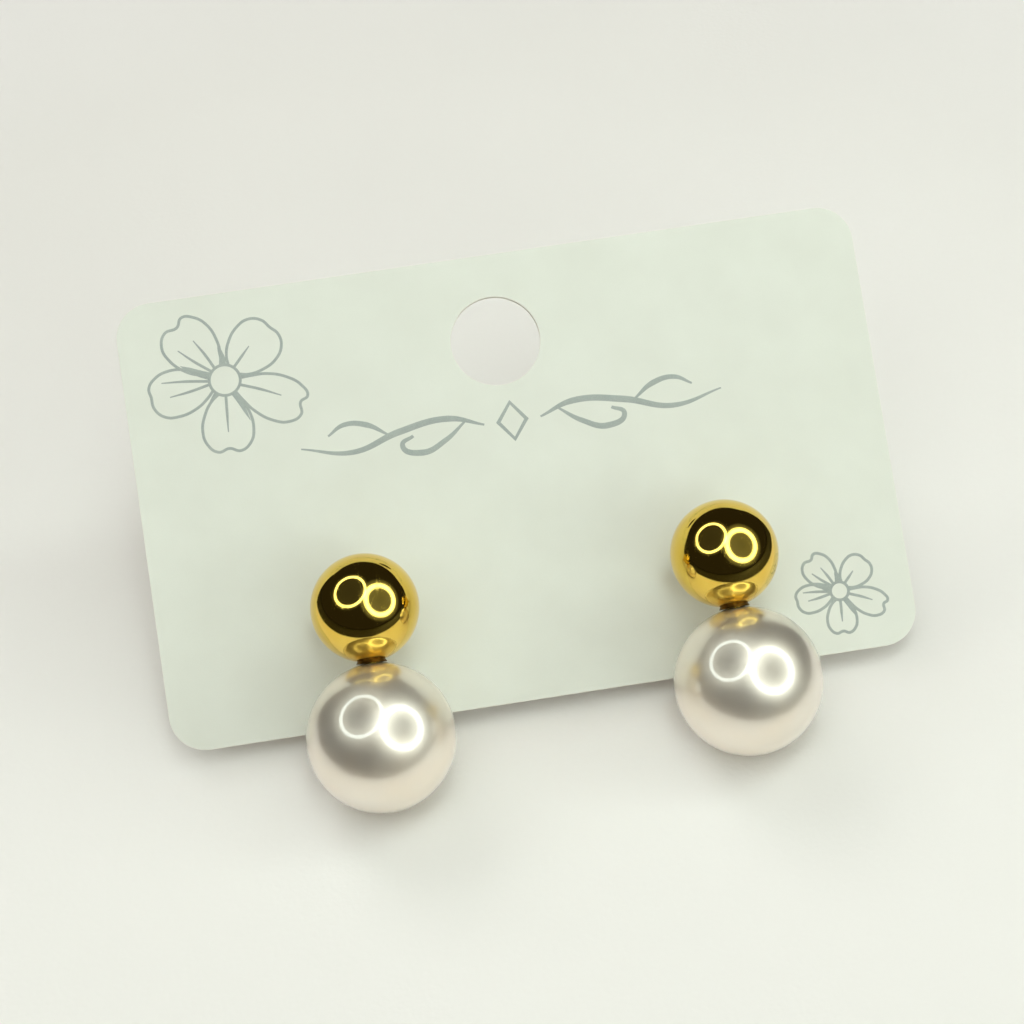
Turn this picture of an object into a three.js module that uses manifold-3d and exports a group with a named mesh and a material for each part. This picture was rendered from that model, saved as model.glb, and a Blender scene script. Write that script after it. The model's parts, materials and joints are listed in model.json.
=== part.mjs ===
import * as THREE from 'three';
import { mergeVertices } from 'three/addons/utils/BufferGeometryUtils.js';
import Module from 'manifold-3d';

// A pair of pearl drop earrings on a flat display card, in millimetres, +Z up.
// The card faces -Y. It leans back as it would on a table, on the two pearls in front
// and on the tips of the two ear posts behind. The origin is under the middle of it all.

// Card
const cardWidth = 50;
const cardHeight = 30;
const cardThickness = 0.5;
const cardCornerRadius = 2.4;
const hangHoleDiameter = 6;
const hangHoleAboveCentre = 9.1;

// Ball, its ear post and the peg that holds the pearl
const ballDiameter = 7;
const postDiameter = 0.8;
const postLength = 10;
const grooveDepth = 0.1;
const grooveWidth = 0.5;
const grooveFromTip = 1.6;
const pegDiameter = 1;
const pegDepth = 3.4;

// Pearl
const pearlDiameter = 9.6;
const pearlGap = 0.05;

// Ear nut, a strip of metal with both ends curled towards the post
const nutMetal = 0.3;
const nutPlateDiameter = 4.6;
const nutStripWidth = 2.6;
const nutCurlRadius = 0.95;
const nutCurlEndRadius = 0.75;
const nutCurlSweep = THREE.MathUtils.degToRad(310);

// Places on the card, from its centre: x to the right, y up the card
const studBelowCentre = 7.65;
const studStandOff = 5;
const clearance = 0.3;
const earrings = [
  { side: 'left', x: -11.2, turn: -1.2, nutTurn: 14 },
  { side: 'right', x: 12.2, turn: 1.5, nutTurn: -22 },
];

// Fineness of the round shapes
const ballSides = 36;
const pearlSides = 40;
const wireSides = 16;
const holeSides = 24;
const curlSteps = 18;

const ballRadius = ballDiameter / 2;
const pearlRadius = pearlDiameter / 2;
const postRadius = postDiameter / 2;
const pegRadius = pegDiameter / 2;
const pearlBelowBall = ballRadius + pearlGap + pearlRadius;

const materials = {
  card: new THREE.MeshStandardMaterial({ color: 0xe3e8da, roughness: 0.75, metalness: 0 }),
  gold: new THREE.MeshStandardMaterial({ color: 0xe0a93b, roughness: 0.1, metalness: 1 }),
  pearl: new THREE.MeshStandardMaterial({ color: 0xf3ede4, roughness: 0.22, metalness: 0.1 }),
  nut: new THREE.MeshStandardMaterial({ color: 0xd3a041, roughness: 0.28, metalness: 1 }),
};

const wasm = await Module();
wasm.setup();

// A closed geometry as a solid that can be joined to others or cut by them
function toSolid(geometry) {
  const bare = geometry.clone();
  bare.deleteAttribute('normal');
  bare.deleteAttribute('uv');
  const merged = mergeVertices(bare);
  const corners = [];
  for (let i = 0; i < merged.index.count; i += 3) {
    const a = merged.index.getX(i);
    const b = merged.index.getX(i + 1);
    const c = merged.index.getX(i + 2);
    if (a !== b && b !== c && c !== a) corners.push(a, b, c);
  }
  const vertProperties = new Float32Array(merged.attributes.position.array);
  const triVerts = new Uint32Array(corners);
  return new wasm.Manifold(new wasm.Mesh({ numProp: 3, vertProperties, triVerts }));
}

// The solid's surface as a geometry again
function toGeometry(solid) {
  const { vertProperties, triVerts } = solid.getMesh();
  const geometry = new THREE.BufferGeometry();
  geometry.setAttribute('position', new THREE.BufferAttribute(new Float32Array(vertProperties), 3));
  geometry.setIndex(new THREE.BufferAttribute(new Uint32Array(triVerts), 1));
  geometry.computeVertexNormals();
  return geometry;
}

// Points on an arc about a centre, both ends included
function arcPoints(centreX, centreY, radius, from, to, steps) {
  const points = [];
  for (let i = 0; i <= steps; i += 1) {
    const angle = from + ((to - from) * i) / steps;
    const x = centreX + radius * Math.cos(angle);
    points.push(new THREE.Vector2(Math.max(x, 0), centreY + radius * Math.sin(angle)));
  }
  return points;
}

function roundHole(x, y, radius) {
  const hole = new THREE.Path();
  hole.absarc(x, y, radius, 0, 2 * Math.PI, true);
  return hole;
}

// The card's front lies in the plane z = 0 and its back behind it
function makeCard() {
  const x = cardWidth / 2 - cardCornerRadius;
  const y = cardHeight / 2 - cardCornerRadius;
  const quarter = Math.PI / 2;
  const outline = new THREE.Shape();
  outline.absarc(x, y, cardCornerRadius, 0, quarter);
  outline.absarc(-x, y, cardCornerRadius, quarter, 2 * quarter);
  outline.absarc(-x, -y, cardCornerRadius, 2 * quarter, 3 * quarter);
  outline.absarc(x, -y, cardCornerRadius, 3 * quarter, 4 * quarter);
  outline.holes.push(roundHole(0, hangHoleAboveCentre, hangHoleDiameter / 2));
  for (const earring of earrings) {
    outline.holes.push(roundHole(earring.x, -studBelowCentre, postRadius + clearance));
  }
  const geometry = new THREE.ExtrudeGeometry(outline, {
    depth: cardThickness,
    bevelEnabled: false,
    curveSegments: holeSides / 2,
  });
  geometry.translate(0, 0, -cardThickness);
  return geometry;
}

// The ear post, turned about y with its rounded tip at the bottom and a groove for the nut near it
function makePost() {
  const tip = -(ballRadius + postLength);
  const groove = tip + grooveFromTip;
  const grooveRadius = postRadius - grooveDepth;
  const profile = [
    ...arcPoints(0, tip + postRadius, postRadius, -Math.PI / 2, 0, 4),
    new THREE.Vector2(postRadius, groove),
    new THREE.Vector2(grooveRadius, groove + grooveDepth),
    new THREE.Vector2(grooveRadius, groove + grooveWidth - grooveDepth),
    new THREE.Vector2(postRadius, groove + grooveWidth),
    new THREE.Vector2(postRadius, 0),
    new THREE.Vector2(0, 0),
  ];
  return new THREE.LatheGeometry(profile, wireSides);
}

// Ball, post and peg, soldered into one solid about the ball's centre
function makeStud() {
  const ball = new THREE.SphereGeometry(ballRadius, ballSides, ballSides / 2);
  const post = makePost();
  post.rotateX(Math.PI / 2);
  const pegLength = ballRadius + pearlGap + pegDepth;
  const peg = new THREE.CylinderGeometry(pegRadius, pegRadius, pegLength, wireSides);
  peg.translate(0, -pegLength / 2, 0);
  return toGeometry(toSolid(ball).add(toSolid(post)).add(toSolid(peg)));
}

// The pearl about its own centre, drilled from the top for the peg with clearance all round
function makePearl() {
  const drillRadius = pegRadius + clearance;
  const drillBottom = pearlRadius - pegDepth - clearance;
  const drillAngle = Math.acos(drillRadius / pearlRadius);
  const profile = [
    ...arcPoints(0, 0, pearlRadius, -Math.PI / 2, drillAngle, pearlSides / 2),
    new THREE.Vector2(drillRadius, drillBottom),
    new THREE.Vector2(0, drillBottom),
  ];
  return toGeometry(toSolid(new THREE.LatheGeometry(profile, pearlSides)));
}

// The middle line of the nut's strip: down one curl, across the plate and up the other curl.
// Seen from below, x runs across the strip and y away from the card.
function nutStripLine() {
  const curlX = postRadius + clearance + nutMetal / 2 + nutCurlRadius;
  const curlY = nutMetal / 2 + nutCurlRadius;
  const curl = [];
  for (let i = 0; i <= curlSteps; i += 1) {
    const part = i / curlSteps;
    const angle = -Math.PI / 2 + nutCurlSweep * part;
    const radius = THREE.MathUtils.lerp(nutCurlRadius, nutCurlEndRadius, part);
    curl.push(new THREE.Vector2(curlX + radius * Math.cos(angle), curlY + radius * Math.sin(angle)));
  }
  const mirrored = curl.map((point) => new THREE.Vector2(-point.x, point.y));
  return [...mirrored.reverse(), ...curl];
}

// The outline of a strip of even thickness along a line
function stripOutline(line, thickness) {
  const upper = [];
  const lower = [];
  line.forEach((point, i) => {
    const before = line[Math.max(i - 1, 0)];
    const after = line[Math.min(i + 1, line.length - 1)];
    const along = new THREE.Vector2().subVectors(after, before).normalize();
    const across = new THREE.Vector2(-along.y, along.x).multiplyScalar(thickness / 2);
    upper.push(point.clone().add(across));
    lower.push(point.clone().sub(across));
  });
  return new THREE.Shape([...lower, ...upper.reverse()]);
}

// The ear nut: a round plate against the card at z = 0, its curls towards +z, the post's hole through it
function makeNut() {
  const strip = new THREE.ExtrudeGeometry(stripOutline(nutStripLine(), nutMetal), {
    depth: nutStripWidth,
    bevelEnabled: false,
  });
  strip.translate(0, 0, -nutStripWidth / 2);
  strip.rotateX(Math.PI / 2);
  const plateRadius = nutPlateDiameter / 2;
  const plate = new THREE.CylinderGeometry(plateRadius, plateRadius, nutMetal, 2 * wireSides);
  plate.rotateX(Math.PI / 2);
  plate.translate(0, 0, nutMetal / 2);
  const drillRadius = postRadius + clearance;
  const drill = new THREE.CylinderGeometry(drillRadius, drillRadius, 4 * nutMetal, holeSides);
  drill.rotateX(Math.PI / 2);
  return toGeometry(toSolid(strip).add(toSolid(plate)).subtract(toSolid(drill)));
}

function namedMesh(name, geometry, material) {
  const mesh = new THREE.Mesh(geometry, material);
  mesh.name = name;
  return mesh;
}

// One earring about its ball's centre, with the nut on the post behind the card
function makeEarring({ side, x, turn, nutTurn }) {
  const earring = new THREE.Group();
  const stud = namedMesh(`ball_stud_${side}`, makeStud(), materials.gold);
  const pearl = namedMesh(`pearl_${side}`, makePearl(), materials.pearl);
  pearl.position.y = -pearlBelowBall;
  const nut = namedMesh(`clutch_${side}`, makeNut(), materials.nut);
  nut.rotation.set(0, Math.PI, THREE.MathUtils.degToRad(nutTurn));
  nut.position.z = -(studStandOff + cardThickness + clearance);
  earring.add(stud, pearl, nut);
  earring.position.set(x, -studBelowCentre, studStandOff);
  earring.rotation.z = THREE.MathUtils.degToRad(turn);
  return earring;
}

// The card's lean from lying flat. Seen from the side the table touches the pearl and the
// rounded tip of the post, so it is the common tangent of those two circles.
function restingTilt() {
  const tipBehindBall = ballRadius + postLength - postRadius;
  const between = Math.hypot(tipBehindBall, pearlBelowBall);
  return Math.acos((pearlRadius - postRadius) / between) - Math.atan2(pearlBelowBall, tipBehindBall);
}

const leaning = new THREE.Group();
leaning.add(namedMesh('display_card', makeCard(), materials.card));
earrings.forEach((earring) => leaning.add(makeEarring(earring)));
leaning.rotation.x = restingTilt();

// Stand it on z = 0 with the origin under the middle of its box
const box = new THREE.Box3().setFromObject(leaning, true);
const middle = box.getCenter(new THREE.Vector3());
leaning.position.set(-middle.x, -middle.y, -box.min.z);

const pearlEarrings = new THREE.Group();
pearlEarrings.add(leaning);

export default pearlEarrings;
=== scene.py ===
import json
import math

import bmesh
import bpy
from mathutils import Matrix, Quaternion, Vector


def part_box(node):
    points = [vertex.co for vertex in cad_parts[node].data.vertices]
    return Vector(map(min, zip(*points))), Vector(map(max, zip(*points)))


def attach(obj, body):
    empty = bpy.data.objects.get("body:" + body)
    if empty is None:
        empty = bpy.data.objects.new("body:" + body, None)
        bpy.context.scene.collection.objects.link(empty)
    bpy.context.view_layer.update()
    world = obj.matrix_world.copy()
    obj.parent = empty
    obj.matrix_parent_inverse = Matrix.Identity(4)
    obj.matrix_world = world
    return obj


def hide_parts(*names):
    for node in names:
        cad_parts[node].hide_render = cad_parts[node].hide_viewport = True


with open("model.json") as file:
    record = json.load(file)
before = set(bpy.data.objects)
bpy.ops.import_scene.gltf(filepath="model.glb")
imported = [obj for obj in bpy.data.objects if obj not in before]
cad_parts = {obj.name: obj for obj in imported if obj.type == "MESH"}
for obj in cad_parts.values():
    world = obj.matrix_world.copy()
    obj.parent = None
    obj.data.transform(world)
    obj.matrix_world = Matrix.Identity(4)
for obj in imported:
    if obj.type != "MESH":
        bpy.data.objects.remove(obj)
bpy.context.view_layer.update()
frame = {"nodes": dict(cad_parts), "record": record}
mm = 0.001
print("frame loaded:", len(frame["nodes"]), "solids")


# The card's own frame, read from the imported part: x along its top edge, y up it, z out of its front
cardLow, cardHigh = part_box("display_card")
mounts = {mount["name"]: mount for mount in frame["record"]["mounts"]}
cardOut = Vector(mounts["card_front"]["axis"]).normalized()
cardUp = cardOut.cross(Vector((1, 0, 0))).normalized()
cardTilt = math.atan2(cardUp.z, cardUp.y)
thickness = 0.5 * mm
cardMiddle = (cardLow + cardHigh) / 2 + cardOut * thickness / 2
cardPlace = Matrix.Translation(cardMiddle) @ Matrix.Rotation(cardTilt, 4, "X")


def clearSelection():
    if bpy.context.mode != "OBJECT":
        bpy.ops.object.mode_set(mode="OBJECT")
    bpy.ops.object.select_all(action="DESELECT")


def nameIt(name):
    piece = bpy.context.object
    piece.name = name
    piece.data.name = name
    return piece


def pick(piece):
    clearSelection()
    piece.select_set(True)
    bpy.context.view_layer.objects.active = piece


def edit(piece):
    pick(piece)
    bpy.ops.object.mode_set(mode="EDIT")
    bpy.ops.mesh.select_all(action="DESELECT")


def selectFaces(piece, wanted):
    # piece is in edit mode; wanted is asked about each face's middle and normal
    bpy.ops.mesh.select_mode(type="FACE")
    bpy.ops.mesh.select_all(action="DESELECT")
    shape = bmesh.from_edit_mesh(piece.data)
    for face in shape.faces:
        face.select_set(wanted(face.calc_center_median(), face.normal))
    shape.select_flush_mode()
    bmesh.update_edit_mesh(piece.data)


def selectEdges(piece, wanted):
    bpy.ops.mesh.select_mode(type="EDGE")
    bpy.ops.mesh.select_all(action="DESELECT")
    shape = bmesh.from_edit_mesh(piece.data)
    for edge in shape.edges:
        ends = [vertex.co for vertex in edge.verts]
        edge.select_set(wanted((ends[0] + ends[1]) / 2, (ends[1] - ends[0]).normalized()))
    bmesh.update_edit_mesh(piece.data)


def finishModifier(piece, kind, **settings):
    pick(piece)
    modifier = piece.modifiers.new(kind, kind)
    for name, value in settings.items():
        setattr(modifier, name, value)
    bpy.ops.object.modifier_apply(modifier=modifier.name)


def combine(piece, other, operation):
    finishModifier(piece, "BOOLEAN", operation=operation, object=other, solver="EXACT")
    bpy.data.objects.remove(other)


def drill(piece, at, diameter, depth, sides):
    clearSelection()
    bpy.ops.mesh.primitive_cylinder_add(vertices=sides, radius=diameter / 2, depth=depth, location=at)
    pick(bpy.context.object)
    bpy.ops.object.transform_apply(location=True, rotation=True, scale=True)
    combine(piece, bpy.context.object, "DIFFERENCE")


def drawOut(stations, along, start):
    # the selected end is drawn out along an axis and flattened at each station's distance and width
    position, width = start
    for distance, stationWidth in stations:
        step = along * (distance - position)
        bpy.ops.mesh.extrude_region_move(TRANSFORM_OT_translate={"value": step})
        ratio = stationWidth / width
        scale = [0 if abs(axis) > 0.5 else ratio for axis in along]
        bpy.ops.transform.resize(value=scale, center_override=along * distance)
        position, width = distance, stationWidth


def settle(piece, place, smoothAngle=35):
    # puts a piece modelled about the origin in its place, held in its mesh
    pick(piece)
    piece.matrix_world = place @ piece.matrix_world
    bpy.ops.object.transform_apply(location=True, rotation=True, scale=True)
    bpy.ops.object.shade_smooth_by_angle(angle=math.radians(smoothAngle))
    return piece


def dress(piece, slot, *materials):
    slots = [face.material_index for face in piece.data.polygons]
    piece.data.materials.clear()
    for material in materials:
        piece.data.materials.append(material)
    piece.data.polygons.foreach_set("material_index", slots)
    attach(piece, "root")


def feed(tree, node, inputs):
    # each input is set to a value, or linked where it is given another node's output
    for name, value in inputs.items():
        if isinstance(value, bpy.types.NodeSocket):
            tree.links.new(value, node.inputs[name])
        else:
            node.inputs[name].default_value = value
    return node


def addNode(tree, kind, inputs=None, **settings):
    node = tree.nodes.new(kind)
    for name, value in settings.items():
        setattr(node, name, value)
    return feed(tree, node, inputs or {})


def startGroup(name, inputs, outputs):
    # inputs and outputs are pairs of a name and a kind, and an input has its default too
    group = bpy.data.node_groups.new(name, "ShaderNodeTree")
    for socketName, kind, default in inputs:
        socket = group.interface.new_socket(socketName, in_out="INPUT", socket_type=kind)
        if default is not None:
            socket.default_value = default
    for socketName, kind in outputs:
        group.interface.new_socket(socketName, in_out="OUTPUT", socket_type=kind)
    return group, group.nodes.new("NodeGroupInput").outputs, group.nodes.new("NodeGroupOutput").inputs


def fillGroup(tree, group, inputs):
    node = tree.nodes.new("ShaderNodeGroup")
    node.node_tree = group
    return feed(tree, node, inputs)


# Fibre and pigment grain: a fine noise over a coarser cloudiness, each about 0.5
def makeGrain():
    group, given, out = startGroup(
        "fibreGrain",
        [("Vector", "NodeSocketVector", None), ("Fibre Size", "NodeSocketFloat", 0.1 * mm),
         ("Cloud Size", "NodeSocketFloat", 3 * mm)],
        [("Fibre", "NodeSocketFloat"), ("Cloud", "NodeSocketFloat")],
    )
    for size, output, detail in (("Fibre Size", "Fibre", 4.0), ("Cloud Size", "Cloud", 2.0)):
        scale = addNode(group, "ShaderNodeMath", {0: 1.0, 1: given[size]}, operation="DIVIDE")
        noise = addNode(group, "ShaderNodeTexNoise", {
            "Vector": given["Vector"], "Scale": scale.outputs[0], "Detail": detail, "Roughness": 0.6,
        })
        group.links.new(noise.outputs["Fac"], out[output])
    return group


# Handling: soft smudges, and hairlines in two directions
def makeHandling():
    group, given, out = startGroup(
        "handling",
        [("Vector", "NodeSocketVector", None), ("Smudge Size", "NodeSocketFloat", 2 * mm),
         ("Hairline Size", "NodeSocketFloat", 0.5 * mm)],
        [("Smudge", "NodeSocketFloat"), ("Hairline", "NodeSocketFloat")],
    )
    smudgeScale = addNode(group, "ShaderNodeMath", {0: 1.0, 1: given["Smudge Size"]}, operation="DIVIDE")
    smudge = addNode(group, "ShaderNodeTexNoise", {
        "Vector": given["Vector"], "Scale": smudgeScale.outputs[0], "Detail": 3.0, "Distortion": 0.4,
    })
    soft = addNode(group, "ShaderNodeMapRange", {
        "Value": smudge.outputs["Fac"], "From Min": 0.42, "From Max": 0.72,
    }, interpolation_type="SMOOTHSTEP")
    group.links.new(soft.outputs["Result"], out["Smudge"])
    hairlineScale = addNode(group, "ShaderNodeMath", {0: 1.0, 1: given["Hairline Size"]}, operation="DIVIDE")
    masks = []
    for turn, offset in ((0.5, 0.0), (-0.9, 0.02)):
        stretched = addNode(group, "ShaderNodeMapping", {
            "Vector": given["Vector"], "Location": (offset, offset, 0.0), "Rotation": (turn, 0.3, turn),
            "Scale": (1.0, 0.06, 0.35),
        })
        noise = addNode(group, "ShaderNodeTexNoise", {
            "Vector": stretched.outputs[0], "Scale": hairlineScale.outputs[0], "Detail": 1.0,
        })
        middle = addNode(group, "ShaderNodeMath", {0: noise.outputs["Fac"], 1: 0.5}, operation="SUBTRACT")
        away = addNode(group, "ShaderNodeMath", {0: middle.outputs[0]}, operation="ABSOLUTE")
        line = addNode(group, "ShaderNodeMapRange", {
            "Value": away.outputs[0], "From Min": 0.0, "From Max": 0.006, "To Min": 1.0, "To Max": 0.0,
        })
        masks.append(line.outputs["Result"])
    both = addNode(group, "ShaderNodeMath", {0: masks[0], 1: masks[1]}, operation="MAXIMUM")
    group.links.new(both.outputs[0], out["Hairline"])
    return group


grainGroup = makeGrain()
handlingGroup = makeHandling()


def startMaterial(name):
    material = bpy.data.materials.new(name)
    material.use_nodes = True
    tree = material.node_tree
    tree.nodes.clear()
    shader = tree.nodes.new("ShaderNodeBsdfPrincipled")
    output = tree.nodes.new("ShaderNodeOutputMaterial")
    tree.links.new(shader.outputs["BSDF"], output.inputs["Surface"])
    place = tree.nodes.new("ShaderNodeTexCoord").outputs["Object"]
    return material, tree, shader.inputs, place


def spread(tree, value, low, high, fromLow=0.3, fromHigh=0.7):
    result = addNode(tree, "ShaderNodeMapRange", {
        "Value": value, "From Min": fromLow, "From Max": fromHigh, "To Min": low, "To Max": high,
    })
    return result.outputs["Result"]


def blendColours(tree, amount, first, second):
    # the Mix node's colour sockets come after those for numbers and vectors
    factor, colourA, colourB, colourOut = 0, 6, 7, 2
    mix = addNode(tree, "ShaderNodeMix", data_type="RGBA")
    feed(tree, mix, {factor: amount, colourA: first, colourB: second})
    return mix.outputs[colourOut]


def bump(tree, height, distance):
    node = addNode(tree, "ShaderNodeBump", {"Height": height, "Distance": distance, "Strength": 1.0})
    return node.outputs["Normal"]


# Coated card: nearly white with a breath of green, faintly cloudy, with a fine tooth
cardLook = {
    "light": (0.755, 0.782, 0.712, 1),
    "dark": (0.697, 0.718, 0.648, 1),
    "cut": (0.880, 0.870, 0.805, 1),
    "cutShadow": (0.760, 0.745, 0.675, 1),
    "fibre": 0.09 * mm,
    "cloud": 4.5 * mm,
    "tooth": 0.006 * mm,
    "roughness": (0.46, 0.62),
    "cutFibre": 0.16 * mm,
    "cutCloud": 1.2 * mm,
    "cutTooth": 0.03 * mm,
    "cutRoughness": 0.85,
    "cutLayers": 0.25,
}


def makeCardFace():
    material, tree, shader, place = startMaterial("coatedCard")
    flat = addNode(tree, "ShaderNodeMapping", {
        "Vector": place, "Location": cardMiddle, "Rotation": (cardTilt, 0.0, 0.0),
    }, vector_type="TEXTURE")
    grain = fillGroup(tree, grainGroup, {
        "Vector": flat.outputs[0], "Fibre Size": cardLook["fibre"], "Cloud Size": cardLook["cloud"],
    })
    clouds = spread(tree, grain.outputs["Cloud"], 0.0, 0.55)
    cloudy = blendColours(tree, clouds, cardLook["light"], cardLook["dark"])
    speckled = blendColours(tree, spread(tree, grain.outputs["Fibre"], 0.0, 0.30), cloudy, cardLook["dark"])
    tree.links.new(speckled, shader["Base Color"])
    low, high = cardLook["roughness"]
    tree.links.new(spread(tree, grain.outputs["Cloud"], low, high), shader["Roughness"])
    tree.links.new(bump(tree, grain.outputs["Fibre"], cardLook["tooth"]), shader["Normal"])
    return material


def makeCardCut():
    material, tree, shader, place = startMaterial("cutCard")
    flat = addNode(tree, "ShaderNodeMapping", {
        "Vector": place, "Location": cardMiddle, "Rotation": (cardTilt, 0.0, 0.0),
        "Scale": (1.0, 1.0, cardLook["cutLayers"]),
    }, vector_type="TEXTURE")
    grain = fillGroup(tree, grainGroup, {
        "Vector": flat.outputs[0], "Fibre Size": cardLook["cutFibre"], "Cloud Size": cardLook["cutCloud"],
    })
    layers = spread(tree, grain.outputs["Fibre"], 0.0, 0.8)
    layered = blendColours(tree, layers, cardLook["cut"], cardLook["cutShadow"])
    tree.links.new(layered, shader["Base Color"])
    shader["Roughness"].default_value = cardLook["cutRoughness"]
    tree.links.new(bump(tree, grain.outputs["Fibre"], cardLook["cutTooth"]), shader["Normal"])
    return material


# Grey printing ink, a little uneven where the paper shows through
inkLook = {
    "full": (0.300, 0.340, 0.325, 1),
    "thin": (0.430, 0.475, 0.440, 1),
    "roughness": 0.5,
    "fibre": 0.07 * mm,
    "cloud": 1.4 * mm,
    "tooth": 0.004 * mm,
}


def makeInk():
    material, tree, shader, place = startMaterial("greyInk")
    grain = fillGroup(tree, grainGroup, {
        "Vector": place, "Fibre Size": inkLook["fibre"], "Cloud Size": inkLook["cloud"],
    })
    mixed = addNode(tree, "ShaderNodeMath", {
        0: spread(tree, grain.outputs["Fibre"], 0.0, 0.6), 1: spread(tree, grain.outputs["Cloud"], 0.0, 0.4),
    }, operation="ADD")
    uneven = blendColours(tree, mixed.outputs[0], inkLook["full"], inkLook["thin"])
    tree.links.new(uneven, shader["Base Color"])
    shader["Roughness"].default_value = inkLook["roughness"]
    tree.links.new(bump(tree, grain.outputs["Fibre"], inkLook["tooth"]), shader["Normal"])
    return material


# Gold plate, mirror-polished: faint smudges dull it and faint hairlines cross it
goldLook = {
    "colour": (0.870, 0.610, 0.120, 1),
    "deep": (0.830, 0.555, 0.095, 1),
    "polish": 0.045,
    "smudged": 0.10,
    "hairline": 0.16,
    "smudgeSize": 2.2 * mm,
    "hairlineSize": 0.9 * mm,
    "waviness": 0.010 * mm,
    "waveSize": 1.8 * mm,
}
# stamped metal is duller and more scratched
nutLook = dict(
    goldLook, polish=0.17, smudged=0.28, hairline=0.42, hairlineSize=0.35 * mm, waviness=0.014 * mm)
# the soldered collar between ball and pearl is painted near black: painted shade of the crevice where ball
# and pearl meet
collarShadeLook = dict(
    nutLook, colour=(0.17, 0.10, 0.028, 1), deep=(0.10, 0.052, 0.012, 1), polish=0.40, smudged=0.50)


def makeGold(name, look):
    material, tree, shader, place = startMaterial(name)
    marks = fillGroup(tree, handlingGroup, {
        "Vector": place, "Smudge Size": look["smudgeSize"], "Hairline Size": look["hairlineSize"],
    })
    waves = fillGroup(tree, grainGroup, {"Vector": place, "Cloud Size": look["waveSize"]})
    tint = spread(tree, waves.outputs["Cloud"], 0.0, 1.0)
    tree.links.new(blendColours(tree, tint, look["colour"], look["deep"]), shader["Base Color"])
    shader["Metallic"].default_value = 1.0
    dulled = spread(tree, marks.outputs["Smudge"], look["polish"], look["smudged"], 0.0, 1.0)
    scratched = spread(tree, marks.outputs["Hairline"], 0.0, look["hairline"] - look["polish"], 0.0, 1.0)
    rough = addNode(tree, "ShaderNodeMath", {0: dulled, 1: scratched}, operation="ADD")
    tree.links.new(rough.outputs[0], shader["Roughness"])
    tree.links.new(bump(tree, waves.outputs["Cloud"], look["waviness"]), shader["Normal"])
    return material


# Nacre-like lacquer: creamy and half mirror, so that its surroundings show softly in it
pearlLook = {
    "colour": (0.955, 0.838, 0.712, 1),
    "cool": (0.910, 0.825, 0.730, 1),
    "cloud": 3.5 * mm,
    "metallic": 0.80,
    "index": 1.6,
    "gloss": (0.37, 0.40),
    "smudgeSize": 2.5 * mm,
    "coat": 1.0,
    "coatRoughness": 0.06,
    "coatIndex": 2.05,
    # thickness in nanometres
    "film": 430,
    "filmIndex": 1.42,
    "rippleSize": 0.9 * mm,
    "ripple": 0.0015 * mm,
}


def makePearl():
    material, tree, shader, place = startMaterial("pearlLacquer")
    grain = fillGroup(tree, grainGroup, {
        "Vector": place, "Fibre Size": pearlLook["rippleSize"], "Cloud Size": pearlLook["cloud"],
    })
    marks = fillGroup(tree, handlingGroup, {"Vector": place, "Smudge Size": pearlLook["smudgeSize"]})
    tint = spread(tree, grain.outputs["Cloud"], 0.0, 1.0)
    tree.links.new(blendColours(tree, tint, pearlLook["colour"], pearlLook["cool"]), shader["Base Color"])
    shader["Metallic"].default_value = pearlLook["metallic"]
    low, high = pearlLook["gloss"]
    tree.links.new(spread(tree, marks.outputs["Smudge"], low, high, 0.0, 1.0), shader["Roughness"])
    shader["IOR"].default_value = pearlLook["index"]
    shader["Coat Weight"].default_value = pearlLook["coat"]
    shader["Coat Roughness"].default_value = pearlLook["coatRoughness"]
    shader["Coat IOR"].default_value = pearlLook["coatIndex"]
    shader["Thin Film Thickness"].default_value = pearlLook["film"]
    shader["Thin Film IOR"].default_value = pearlLook["filmIndex"]
    tree.links.new(bump(tree, grain.outputs["Fibre"], pearlLook["ripple"]), shader["Normal"])
    return material


cardFace = makeCardFace()
cardCut = makeCardCut()
ink = makeInk()
gold = makeGold("polishedGold", goldLook)
nutGold = makeGold("stampedGold", nutLook)
collarShadeGold = makeGold("solderedGoldPaintedShade", collarShadeLook)
pearlSkin = makePearl()
print("finishes made")


# Card
card = {
    "width": 50 * mm,
    "height": 30 * mm,
    "corner": 2.4 * mm,
    "cornerSteps": 14,
    "holeDiameter": 6 * mm,
    "holeAbove": 9.1 * mm,
    "holeSides": 96,
    "postHole": 1.0 * mm,
    "postHoleSides": 32,
    "rimRound": 0.07 * mm,
}


def readEarrings():
    # where each earring hangs, worked out from its ball's box and its pearl's box
    toCard = cardPlace.inverted()
    for side in ("left", "right"):
        pearlLow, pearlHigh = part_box("pearl_" + side)
        studLow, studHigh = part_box("ball_stud_" + side)
        pearlAt = toCard @ ((pearlLow + pearlHigh) / 2)
        across = (studLow.x + studHigh.x) / 2 - pearlAt.x
        turn = math.asin(across / ballToPearl)
        ballAt = pearlAt + Vector((math.sin(turn), math.cos(turn), 0)) * ballToPearl
        yield side, ballAt, cardPlace @ Matrix.Translation(ballAt) @ Matrix.Rotation(-turn, 4, "Z")


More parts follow.
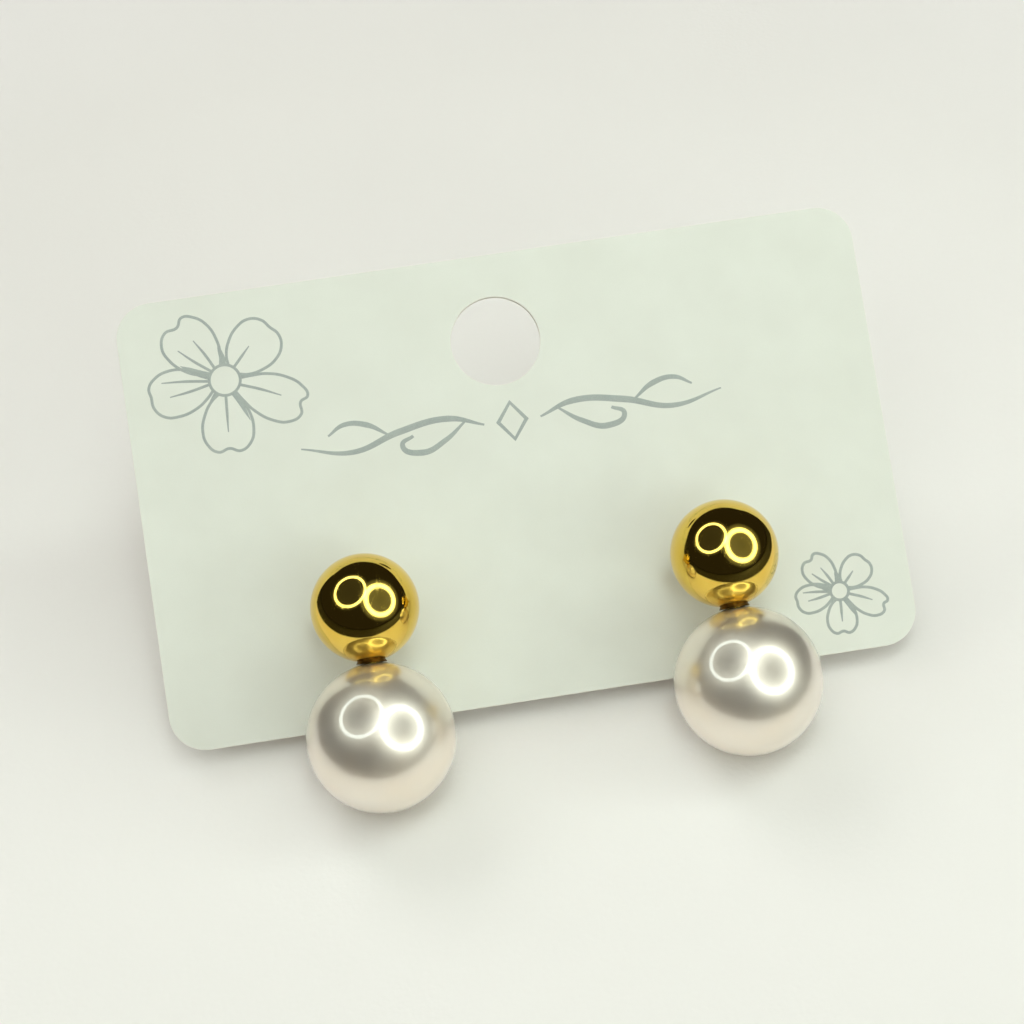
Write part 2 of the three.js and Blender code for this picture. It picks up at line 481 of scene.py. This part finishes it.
stud = {
    "ballRadius": 3.5 * mm,
    "ballSides": 96,
    "postSides": 32,
    # distance behind the ball's middle and diameter, in mm: solder fillet, groove, rounded tip
    "postStations": [
        (3.30, 1.70), (3.46, 1.36), (3.58, 1.06), (3.76, 0.88), (4.02, 0.80),
        (11.40, 0.80), (11.50, 0.60), (11.80, 0.60), (11.90, 0.80),
        (13.12, 0.80), (13.26, 0.74), (13.38, 0.60), (13.46, 0.38), (13.50, 0.12),
    ],
    "collarSteps": 4,
    # distance below the ball's middle and diameter, in mm: the flat collar, then the peg
    "pegStations": [(3.555, 2.0), (3.56, 1.0), (6.9, 1.0), (6.95, 0.86)],
}
pearl = {
    "radius": 4.8 * mm,
    "sides": 112,
    "drill": 1.1 * mm,
    "drillDepth": 3.6 * mm,
    "drillSides": 48,
    "drillRound": 0.05 * mm,
    "gap": 0.05 * mm,
}
ballToPearl = stud["ballRadius"] + pearl["gap"] + pearl["radius"]
earrings = list(readEarrings())


def makeCard():
    clearSelection()
    size = (card["width"], card["height"], thickness)
    bpy.ops.mesh.primitive_cube_add(size=1, location=(0, 0, -thickness / 2), scale=size)
    piece = nameIt("card")
    bpy.ops.object.transform_apply(location=True, rotation=True, scale=True)
    edit(piece)
    selectEdges(piece, lambda middle, along: abs(along.z) > 0.9)
    bpy.ops.mesh.bevel(offset=card["corner"], segments=card["cornerSteps"], affect="EDGES")
    clearSelection()
    through = 4 * thickness
    drill(piece, (0, card["holeAbove"], 0), card["holeDiameter"], through, card["holeSides"])
    for side, ballAt, place in earrings:
        drill(piece, (ballAt.x, ballAt.y, 0), card["postHole"], through, card["postHoleSides"])
    finishModifier(piece, "BEVEL", width=card["rimRound"], segments=2, limit_method="ANGLE")
    piece.data.materials.append(cardFace)
    piece.data.materials.append(cardCut)
    edit(piece)
    # all but the flat front and back is cut edge
    selectFaces(piece, lambda middle, normal: abs(normal.z) < 0.95)
    piece.active_material_index = 1
    bpy.ops.object.material_slot_assign()
    settle(piece, cardPlace, smoothAngle=15)
    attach(piece, "root")
    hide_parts("display_card")


makeCard()
print("card cut, drilled and placed")


# Ball with its post and peg, modelled about the ball's middle: y up to the top, -z towards the card
def makePost():
    clearSelection()
    stations = [(distance * mm, diameter * mm) for distance, diameter in stud["postStations"]]
    start, width = stations[0]
    bpy.ops.mesh.primitive_circle_add(
        vertices=stud["postSides"], radius=width / 2, fill_type="NGON", location=(0, 0, -start))
    post = nameIt("post")
    bpy.ops.object.transform_apply(location=True, rotation=True, scale=True)
    edit(post)
    bpy.ops.mesh.select_all(action="SELECT")
    drawOut(stations[1:], Vector((0, 0, -1)), stations[0])
    bpy.ops.mesh.select_all(action="SELECT")
    bpy.ops.mesh.normals_make_consistent(inside=False)
    clearSelection()
    return post


def makeBallStud():
    clearSelection()
    radius = stud["ballRadius"]
    bpy.ops.mesh.primitive_uv_sphere_add(
        segments=stud["ballSides"], ring_count=stud["ballSides"] // 2, radius=radius,
        rotation=(math.pi / 2, 0, 0))
    ball = nameIt("ballStud")
    bpy.ops.object.transform_apply(location=True, rotation=True, scale=True)
    edit(ball)
    capAngle = stud["collarSteps"] * math.tau / stud["ballSides"]
    capWidth = 2 * radius * math.sin(capAngle)
    selectFaces(ball, lambda middle, normal: middle.angle(Vector((0, -1, 0))) < capAngle)
    stations = [(distance * mm, diameter * mm) for distance, diameter in stud["pegStations"]]
    drawOut(stations, Vector((0, -1, 0)), (radius, capWidth))
    clearSelection()
    combine(ball, makePost(), "UNION")
    ball.data.materials.append(gold)
    # second finish: the near-black collar, painted shade of the crevice between ball and pearl
    ball.data.materials.append(collarShadeGold)
    edit(ball)
    collarEnd = stations[1][0] * 1.001
    selectFaces(
        ball,
        lambda middle, normal: -collarEnd < middle.y < -0.9 * radius and middle.length > 1.002 * radius,
    )
    ball.active_material_index = 1
    bpy.ops.object.material_slot_assign()
    clearSelection()
    return ball


def makePearlBead():
    clearSelection()
    bpy.ops.mesh.primitive_uv_sphere_add(
        segments=pearl["sides"], ring_count=pearl["sides"] // 2, radius=pearl["radius"],
        rotation=(-math.pi / 2, 0, 0))
    bead = nameIt("pearlBead")
    bpy.ops.object.transform_apply(location=True, rotation=True, scale=True)
    clearSelection()
    depth = 2 * pearl["drillDepth"]
    bpy.ops.mesh.primitive_cylinder_add(
        vertices=pearl["drillSides"], radius=pearl["drill"] / 2, depth=depth,
        rotation=(math.pi / 2, 0, 0), location=(0, pearl["radius"], 0))
    bpy.ops.object.transform_apply(location=True, rotation=True, scale=True)
    combine(bead, bpy.context.object, "DIFFERENCE")
    finishModifier(
        bead, "BEVEL", width=pearl["drillRound"], segments=2, limit_method="ANGLE",
        angle_limit=math.radians(50))
    return bead


# Ear nut, modelled on its plate: the post's hole along z, both curls towards +z
nut = {
    "metal": 0.3 * mm,
    "plateDiameter": 4.6 * mm,
    "plateSides": 72,
    "stripWidth": 2.6 * mm,
    "holeDiameter": 1.0 * mm,
    "holeSides": 40,
    "edgeRound": 0.05 * mm,
    "curlOut": 1.8 * mm,
    "curlRadius": 0.95 * mm,
    "curlEndRadius": 0.75 * mm,
    "curlTurn": math.radians(310),
    "curlSteps": 36,
    "behindBall": 5.8 * mm,
    "turns": {"left": math.radians(14), "right": math.radians(-22)},
}


def makeNut():
    clearSelection()
    metal = nut["metal"]
    size = (2 * nut["curlOut"], nut["stripWidth"], metal)
    bpy.ops.mesh.primitive_cube_add(size=1, location=(0, 0, metal / 2), scale=size)
    piece = nameIt("earNut")
    bpy.ops.object.transform_apply(location=True, rotation=True, scale=True)
    edit(piece)
    turn = nut["curlTurn"] / nut["curlSteps"]
    shrink = (nut["curlRadius"] - nut["curlEndRadius"]) / nut["curlSteps"]
    for way in (1, -1):
        nearEnd = 0.9 * nut["curlOut"]
        selectFaces(piece, lambda middle, normal: normal.x * way > 0.9 and middle.x * way > nearEnd)
        centre = Vector((way * nut["curlOut"], 0, metal / 2 + nut["curlRadius"]))
        angle = -math.pi / 2
        for step in range(nut["curlSteps"]):
            bpy.ops.mesh.extrude_region_move()
            bpy.ops.transform.rotate(value=way * turn, orient_axis="Y", center_override=centre)
            angle += turn
            inward = Vector((-way * math.cos(angle), 0, -math.sin(angle))) * shrink
            bpy.ops.transform.translate(value=inward)
    clearSelection()
    bpy.ops.mesh.primitive_cylinder_add(
        vertices=nut["plateSides"], radius=nut["plateDiameter"] / 2, depth=metal,
        location=(0, 0, metal / 2))
    bpy.ops.object.transform_apply(location=True, rotation=True, scale=True)
    combine(piece, bpy.context.object, "UNION")
    drill(piece, (0, 0, 0), nut["holeDiameter"], 4 * metal, nut["holeSides"])
    finishModifier(
        piece, "BEVEL", width=nut["edgeRound"], segments=2, limit_method="ANGLE",
        angle_limit=math.radians(40))
    return piece


def copyPiece(piece, name):
    copied = piece.copy()
    copied.data = piece.data.copy()
    copied.name = name
    copied.data.name = name
    bpy.context.scene.collection.objects.link(copied)
    return copied


ballStud = makeBallStud()
bead = makePearlBead()
earNut = makeNut()
for side, ballAt, place in earrings:
    below = Matrix.Translation((0, -ballToPearl, 0))
    behind = Matrix.Translation((0, 0, -nut["behindBall"]))
    turned = Matrix.Rotation(math.pi, 4, "Y") @ Matrix.Rotation(nut["turns"][side], 4, "Z")
    rows = (
        ("ballStud_", ballStud, place, "polished_gold", (gold, collarShadeGold), "ball_stud_"),
        ("pearlBead_", bead, place @ below, "pearl", (pearlSkin,), "pearl_"),
        ("earNut_", earNut, place @ behind @ turned, "nut_metal", (nutGold,), "clutch_"),
    )
    for name, pattern, where, slot, finishes, node in rows:
        piece = settle(copyPiece(pattern, name + side), where)
        dress(piece, slot, *finishes)
        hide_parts(node + side)
for pattern in (ballStud, bead, earNut):
    bpy.data.objects.remove(pattern)
print("balls, pearls and ear nuts in place")


# Ink is a film on the card: its strokes are round and then flattened to this share of their height
film = {"flatness": 0.05, "above": 0.006 * mm, "curveSteps": 14, "roundSteps": 2}

# Printed line flowers, five petals each, drawn in the card's frame in mm
flowerLine = 0.19 * mm
flowerRing = 1.03
petals = [
    # angle, length and width, how deep the tip is notched and how far the notch lies to one side
    {"angle": -94, "length": 4.80, "width": 3.38, "notch": 0.20, "aside": 0.00},
    {"angle": -27, "length": 5.55, "width": 3.05, "notch": 0.30, "aside": 0.15},
    {"angle": 42, "length": 4.65, "width": 3.40, "notch": 0.00, "aside": 0.00},
    {"angle": 126, "length": 5.05, "width": 3.45, "notch": 0.28, "aside": -0.10},
    {"angle": 187, "length": 5.00, "width": 3.15, "notch": 0.00, "aside": -0.10},
]
# veins: angle, how far to one side, reach
veins = [
    (-94, 0.0, 3.5), (-25, 0.1, 3.9), (47, 0.0, 2.8), (122, -0.1, 3.4), (138, 0.1, 3.7),
    (176, -0.1, 4.2), (188, 0.1, 3.8),
]
# dark wedges where petals meet: angle at the ring, how far its end swings aside, reach, weight
wedges = [
    (157, -0.15, 3.1, 2.7), (89, 0.20, 2.5, 2.3), (-63, -0.15, 3.2, 2.0),
    (6, 0.0, 2.0, 1.5), (229, 0.0, 1.9, 1.4),
]
flowers = [
    {"name": "printedFlowerLarge", "x": -18.25 * mm, "y": 9.1 * mm, "scale": 1.0},
    {"name": "printedFlowerSmall", "x": 20.13 * mm, "y": -10.93 * mm, "scale": 0.585},
]


def addStroke(curve, points, widths, closed=False):
    # a smooth stroke through points in millimetres, each with its share of the line's width
    stroke = curve.splines.new("BEZIER")
    stroke.bezier_points.add(len(points) - 1)
    stroke.use_cyclic_u = closed
    for knot, (x, y), width in zip(stroke.bezier_points, points, widths):
        knot.co = (x * mm, y * mm, 0)
        knot.handle_left_type = "AUTO"
        knot.handle_right_type = "AUTO"
        knot.radius = width


def along(angle, out, across):
    # a point out along a direction in degrees and across from it
    turn = math.radians(angle)
    x = out * math.cos(turn) - across * math.sin(turn)
    y = out * math.sin(turn) + across * math.cos(turn)
    return x, y


def startPrint(name, lineWidth):
    clearSelection()
    bpy.ops.curve.primitive_bezier_circle_add(radius=mm)
    piece = nameIt(name)
    curve = piece.data
    curve.splines.clear()
    curve.dimensions = "3D"
    curve.resolution_u = film["curveSteps"]
    curve.bevel_depth = lineWidth / 2
    curve.bevel_resolution = film["roundSteps"]
    curve.use_fill_caps = True
    return piece, curve


def finishPrint(piece, x, y, scale=1.0):
    # flattened to a film of ink on the card's front
    pick(piece)
    bpy.ops.object.convert(target="MESH")
    piece.scale = (scale, scale, film["flatness"])
    bpy.ops.object.transform_apply(location=True, rotation=True, scale=True)
    settle(piece, cardPlace @ Matrix.Translation((x, y, film["above"])), smoothAngle=60)
    dress(piece, "card_stock", ink)


def makeFlower(flower):
    piece, curve = startPrint(flower["name"], flowerLine / flower["scale"])
    ring = flowerRing
    circle = [along(90 * quarter, ring, 0) for quarter in range(4)]
    addStroke(curve, circle, [1.0] * 4, closed=True)
    for petal in petals:
        length = petal["length"]
        half = petal["width"] / 2
        dip = length - petal["notch"]
        aside = petal["aside"] * half
        # out and back again, as shares of the length and of half the width
        outline = [
            (ring * 0.92, -0.50), (0.28 * length, -0.56 * half), (0.46 * length, -0.86 * half),
            (0.70 * length, -1.00 * half), (0.89 * length, -0.84 * half),
            (length, -0.44 * half + aside * 0.5), (dip, aside), (length, 0.44 * half + aside * 0.5),
            (0.89 * length, 0.86 * half), (0.70 * length, 1.00 * half), (0.45 * length, 0.86 * half),
            (0.28 * length, 0.56 * half), (ring * 0.92, 0.50),
        ]
        points = [along(petal["angle"], out, across) for out, across in outline]
        addStroke(curve, points, [1.0] * len(points))
    for angle, aside, reach in veins:
        middle = (ring + reach) / 2
        vein = [along(angle, ring, 0), along(angle, middle, aside), along(angle, reach, aside)]
        addStroke(curve, vein, [1.0, 0.95, 0.40])
    for angle, aside, reach, weight in wedges:
        third = (reach - ring) / 3
        steps = [(ring, 0), (ring + third, 0), (ring + 2 * third, aside / 2), (reach, aside)]
        points = [along(angle, out, across) for out, across in steps]
        addStroke(curve, points, [weight, 0.9 * weight, 0.6 * weight, 0.2])
    finishPrint(piece, flower["x"], flower["y"], flower["scale"])


for flower in flowers:
    makeFlower(flower)
print("flowers printed")


# A plain printed scroll across the card's middle: a lozenge between two mirrored curls
scroll = {
    "line": 0.34 * mm,
    "x": 0.3 * mm,
    "y": 3.6 * mm,
    # x and y from the scroll's middle in mm, and the share of the line's width
    "stem": [(1.9, 0.0, 0.4), (4.2, 0.75, 1.2), (7.6, 0.35, 1.3), (10.8, -0.55, 1.0), (14.2, 0.15, 0.3)],
    "curl": [(3.1, 0.45, 0.4), (4.6, -0.65, 1.0), (6.3, -1.25, 1.2), (7.5, -0.60, 1.0), (6.7, -0.05, 0.6)],
    "leaf": [(8.3, 0.25, 0.4), (9.7, 1.15, 1.1), (11.2, 1.35, 0.9), (12.3, 0.75, 0.4)],
    "lozenge": [(-0.95, 0.0), (0.0, 1.25), (0.95, 0.0), (0.0, -1.25)],
}


def makeScroll():
    piece, curve = startPrint("printedScroll", scroll["line"])
    for way in (1, -1):
        for part in ("stem", "curl", "leaf"):
            points = [(way * x, y) for x, y, width in scroll[part]]
            addStroke(curve, points, [width for x, y, width in scroll[part]])
    addStroke(curve, scroll["lozenge"], [0.9] * 4, closed=True)
    for knot in curve.splines[-1].bezier_points:
        knot.handle_left_type = "VECTOR"
        knot.handle_right_type = "VECTOR"
    finishPrint(piece, scroll["x"], scroll["y"])


makeScroll()
print("scroll printed")


# Table top: the mirror finishes show it bright only around litMiddle; beyond it the table is painted near
# black in reflections, a painted dark reflection
table = {
    "side": 3,
    "pale": (0.86, 0.85, 0.83, 1),
    "paleShade": (0.83, 0.82, 0.80, 1),
    "fibre": 0.4 * mm,
    "cloud": 60 * mm,
    "tooth": 0.02 * mm,
    "roughness": 0.7,
    "specular": 0.1,
    "litMiddle": Vector((-4, 15, 0)) * mm,
    "litRadius": 53 * mm,
    "litEdge": 4 * mm,
    "mirrorPaintedDark": (0.03, 0.028, 0.02, 1),
    "fade": (60 * mm, 230 * mm),
}
# The room: pale to the camera, dark in the mirror finishes, soft fill for the rest
room = {
    "seen": (0.86, 0.86, 0.85, 1),
    "mirrored": (0.022, 0.020, 0.016, 1),
    "fill": (0.255, 0.205, 0.170, 1),
}


def makeFloor():
    clearSelection()
    bpy.ops.mesh.primitive_plane_add(size=table["side"])
    floor = nameIt("tableTop")
    material, tree, shader, place = startMaterial("paleTable")
    grain = fillGroup(tree, grainGroup, {
        "Vector": place, "Fibre Size": table["fibre"], "Cloud Size": table["cloud"],
    })
    tone = spread(tree, grain.outputs["Cloud"], 0.0, 1.0)
    pale = blendColours(tree, tone, table["pale"], table["paleShade"])
    # in the mirror finishes only the table near the card is bright; farther out its colour is painted dark,
    # a painted reflection
    away = addNode(tree, "ShaderNodeVectorMath", {0: place, 1: table["litMiddle"]}, operation="DISTANCE")
    litEnd = table["litRadius"] + table["litEdge"]
    far = spread(tree, away.outputs["Value"], 0.0, 1.0, table["litRadius"], litEnd)
    rays = tree.nodes.new("ShaderNodeLightPath").outputs
    mirroredFar = addNode(tree, "ShaderNodeMath", {0: far, 1: rays["Is Glossy Ray"]}, operation="MULTIPLY")
    paintedDarkInMirror = blendColours(tree, mirroredFar.outputs[0], pale, table["mirrorPaintedDark"])
    tree.links.new(paintedDarkInMirror, shader["Base Color"])
    shader["Roughness"].default_value = table["roughness"]
    shader["Specular IOR Level"].default_value = table["specular"]
    tree.links.new(bump(tree, grain.outputs["Fibre"], table["tooth"]), shader["Normal"])
    # to the camera it runs into the pale room far away
    fadeStart, fadeEnd = table["fade"]
    faded = spread(tree, away.outputs["Value"], 0.0, 1.0, fadeStart, fadeEnd)
    seenFar = addNode(tree, "ShaderNodeMath", {0: faded, 1: rays["Is Camera Ray"]}, operation="MULTIPLY")
    glow = addNode(tree, "ShaderNodeEmission", {"Color": room["seen"]})
    blended = addNode(tree, "ShaderNodeMixShader", {
        0: seenFar.outputs[0], 1: tree.nodes["Principled BSDF"].outputs[0], 2: glow.outputs[0],
    })
    tree.links.new(blended.outputs[0], tree.nodes["Material Output"].inputs["Surface"])
    floor.data.materials.append(material)


makeFloor()


# Camera: the photograph's own angle to the card, closer in
lens = {
    "from": Vector((-9.34, -112.73, 118.32)) * mm,
    "at": Vector((-0.8, 0.6, 11.6)) * mm,
    "roll": math.radians(-5.54),
    "focal": 83.7,
    "sensor": 36,
    "nearest": 1 * mm,
    "farthest": 10,
}
forward = (lens["at"] - lens["from"]).normalized()
aim = forward.to_track_quat("-Z", "Y") @ Quaternion((0, 0, 1), lens["roll"])
clearSelection()
bpy.ops.object.camera_add(location=lens["from"])
camera = bpy.context.object
camera.rotation_mode = "QUATERNION"
camera.rotation_quaternion = aim
camera.data.sensor_width = lens["sensor"]
camera.data.lens = lens["focal"]
camera.data.clip_start = lens["nearest"]
camera.data.clip_end = lens["farthest"]
bpy.context.scene.camera = camera


# Two ring lamps, placed by where they mirror in the balls: directions in the camera's axes.
# Ring and haze are pairs of an angle in degrees, seen from the balls, and a share of the glow.
lamps = [
    {"name": "ringLampLeft", "direction": (-0.490, 0.560, 0.668), "glow": 3.3,
     "ring": [(27.4, 0.0), (28.7, 1.0), (32.4, 1.0), (33.7, 0.0)],
     "haze": [(0.0, 0.008), (26.0, 0.010), (31.0, 0.05), (39.0, 0.0)]},
    {"name": "ringLampRight", "direction": (0.551, 0.305, 0.777), "glow": 4.2,
     "ring": [(23.0, 0.0), (28.5, 1.0), (32.0, 1.0), (37.5, 0.0)],
     "haze": [(0.0, 0.035), (20.0, 0.043), (30.0, 0.09), (36.0, 0.045), (46.0, 0.0)]},
]
lampDistance = 250 * mm
hazeDistance = 252 * mm
lampCentre = Vector((0.5, -4.8, 10.3)) * mm
lampColour = (0.89, 1.0, 0.94, 1)
lampSides = 96


def makeGlow(name, towards, distance, stops, glow):
    # a glowing disk or ring that faces the balls, its strength set by the angle from its middle
    clearSelection()
    inside = distance * math.tan(math.radians(stops[0][0]))
    outside = distance * math.tan(math.radians(stops[-1][0]))
    bpy.ops.mesh.primitive_circle_add(vertices=lampSides, radius=outside, fill_type="NGON")
    lit = nameIt(name)
    if inside > 0:
        edit(lit)
        bpy.ops.mesh.select_all(action="SELECT")
        bpy.ops.mesh.inset(thickness=outside - inside)
        bpy.ops.mesh.delete(type="FACE")
        clearSelection()
    lit.location = lampCentre + towards * distance
    lit.rotation_mode = "QUATERNION"
    lit.rotation_quaternion = towards.to_track_quat("Z", "Y")
    material = bpy.data.materials.new(name + "Glow")
    material.use_nodes = True
    tree = material.node_tree
    tree.nodes.clear()
    place = tree.nodes.new("ShaderNodeTexCoord").outputs["Object"]
    radius = addNode(tree, "ShaderNodeVectorMath", {0: place}, operation="LENGTH")
    share = addNode(tree, "ShaderNodeMath", {0: radius.outputs["Value"], 1: outside}, operation="DIVIDE")
    node = addNode(tree, "ShaderNodeValToRGB", {"Fac": share.outputs[0]})
    ramp = node.color_ramp
    ramp.interpolation = "EASE"
    ramp.elements.remove(ramp.elements[-1])
    for number, (angle, level) in enumerate(stops):
        position = distance * math.tan(math.radians(angle)) / outside
        stop = ramp.elements.new(position) if number else ramp.elements[0]
        stop.position = position
        stop.color = (level, level, level, 1)
    strength = addNode(tree, "ShaderNodeMath", {0: node.outputs["Color"], 1: glow}, operation="MULTIPLY")
    shine = addNode(tree, "ShaderNodeEmission", {"Color": lampColour, "Strength": strength.outputs[0]})
    clear = tree.nodes.new("ShaderNodeBsdfTransparent")
    both = addNode(tree, "ShaderNodeAddShader", {0: shine.outputs[0], 1: clear.outputs[0]})
    output = tree.nodes.new("ShaderNodeOutputMaterial")
    tree.links.new(both.outputs[0], output.inputs["Surface"])
    lit.data.materials.append(material)
    lit.visible_camera = False
    lit.visible_shadow = False
    return lit


for lamp in lamps:
    towards = aim @ Vector(lamp["direction"]).normalized()
    makeGlow(lamp["name"], towards, lampDistance, lamp["ring"], lamp["glow"])
    haze = makeGlow(lamp["name"] + "Haze", towards, hazeDistance, lamp["haze"], lamp["glow"])
    haze.visible_diffuse = False


# Soft lights that the mirror finishes don't show: one over the camera, a little to the left,
# and one for the back
softLights = [
    {"name": "softLightFront", "at": lampCentre + aim @ Vector((-0.22, 0.42, 0.88)) * 600 * mm,
     "size": 0.38, "energy": 0.42, "colour": (0.95, 1.0, 0.99)},
    {"name": "softLightBack", "at": Vector((-0.25, 0.55, 0.55)),
     "size": 0.40, "energy": 1.2, "colour": (1.0, 1.0, 1.0)},
]
for light in softLights:
    clearSelection()
    bpy.ops.object.light_add(type="AREA", location=light["at"])
    soft = nameIt(light["name"])
    soft.data.shape = "DISK"
    soft.data.size = light["size"]
    soft.data.energy = light["energy"]
    soft.data.color = light["colour"]
    soft.visible_glossy = False
    soft.rotation_mode = "QUATERNION"
    soft.rotation_quaternion = light["at"].to_track_quat("Z", "Y")

world = bpy.data.worlds.new("studio")
world.use_nodes = True
bpy.context.scene.world = world
sky = world.node_tree
sky.nodes.clear()
rays = sky.nodes.new("ShaderNodeLightPath")
inMirror = blendColours(sky, rays.outputs["Is Glossy Ray"], room["fill"], room["mirrored"])
toCamera = blendColours(sky, rays.outputs["Is Camera Ray"], inMirror, room["seen"])
shine = addNode(sky, "ShaderNodeBackground", {"Color": toCamera, "Strength": 1.0})
skyOut = sky.nodes.new("ShaderNodeOutputWorld")
sky.links.new(shine.outputs[0], skyOut.inputs["Surface"])

bpy.context.scene.view_settings.view_transform = "Standard"
bpy.context.scene.view_settings.look = "None"
print("camera, lamps and room set")
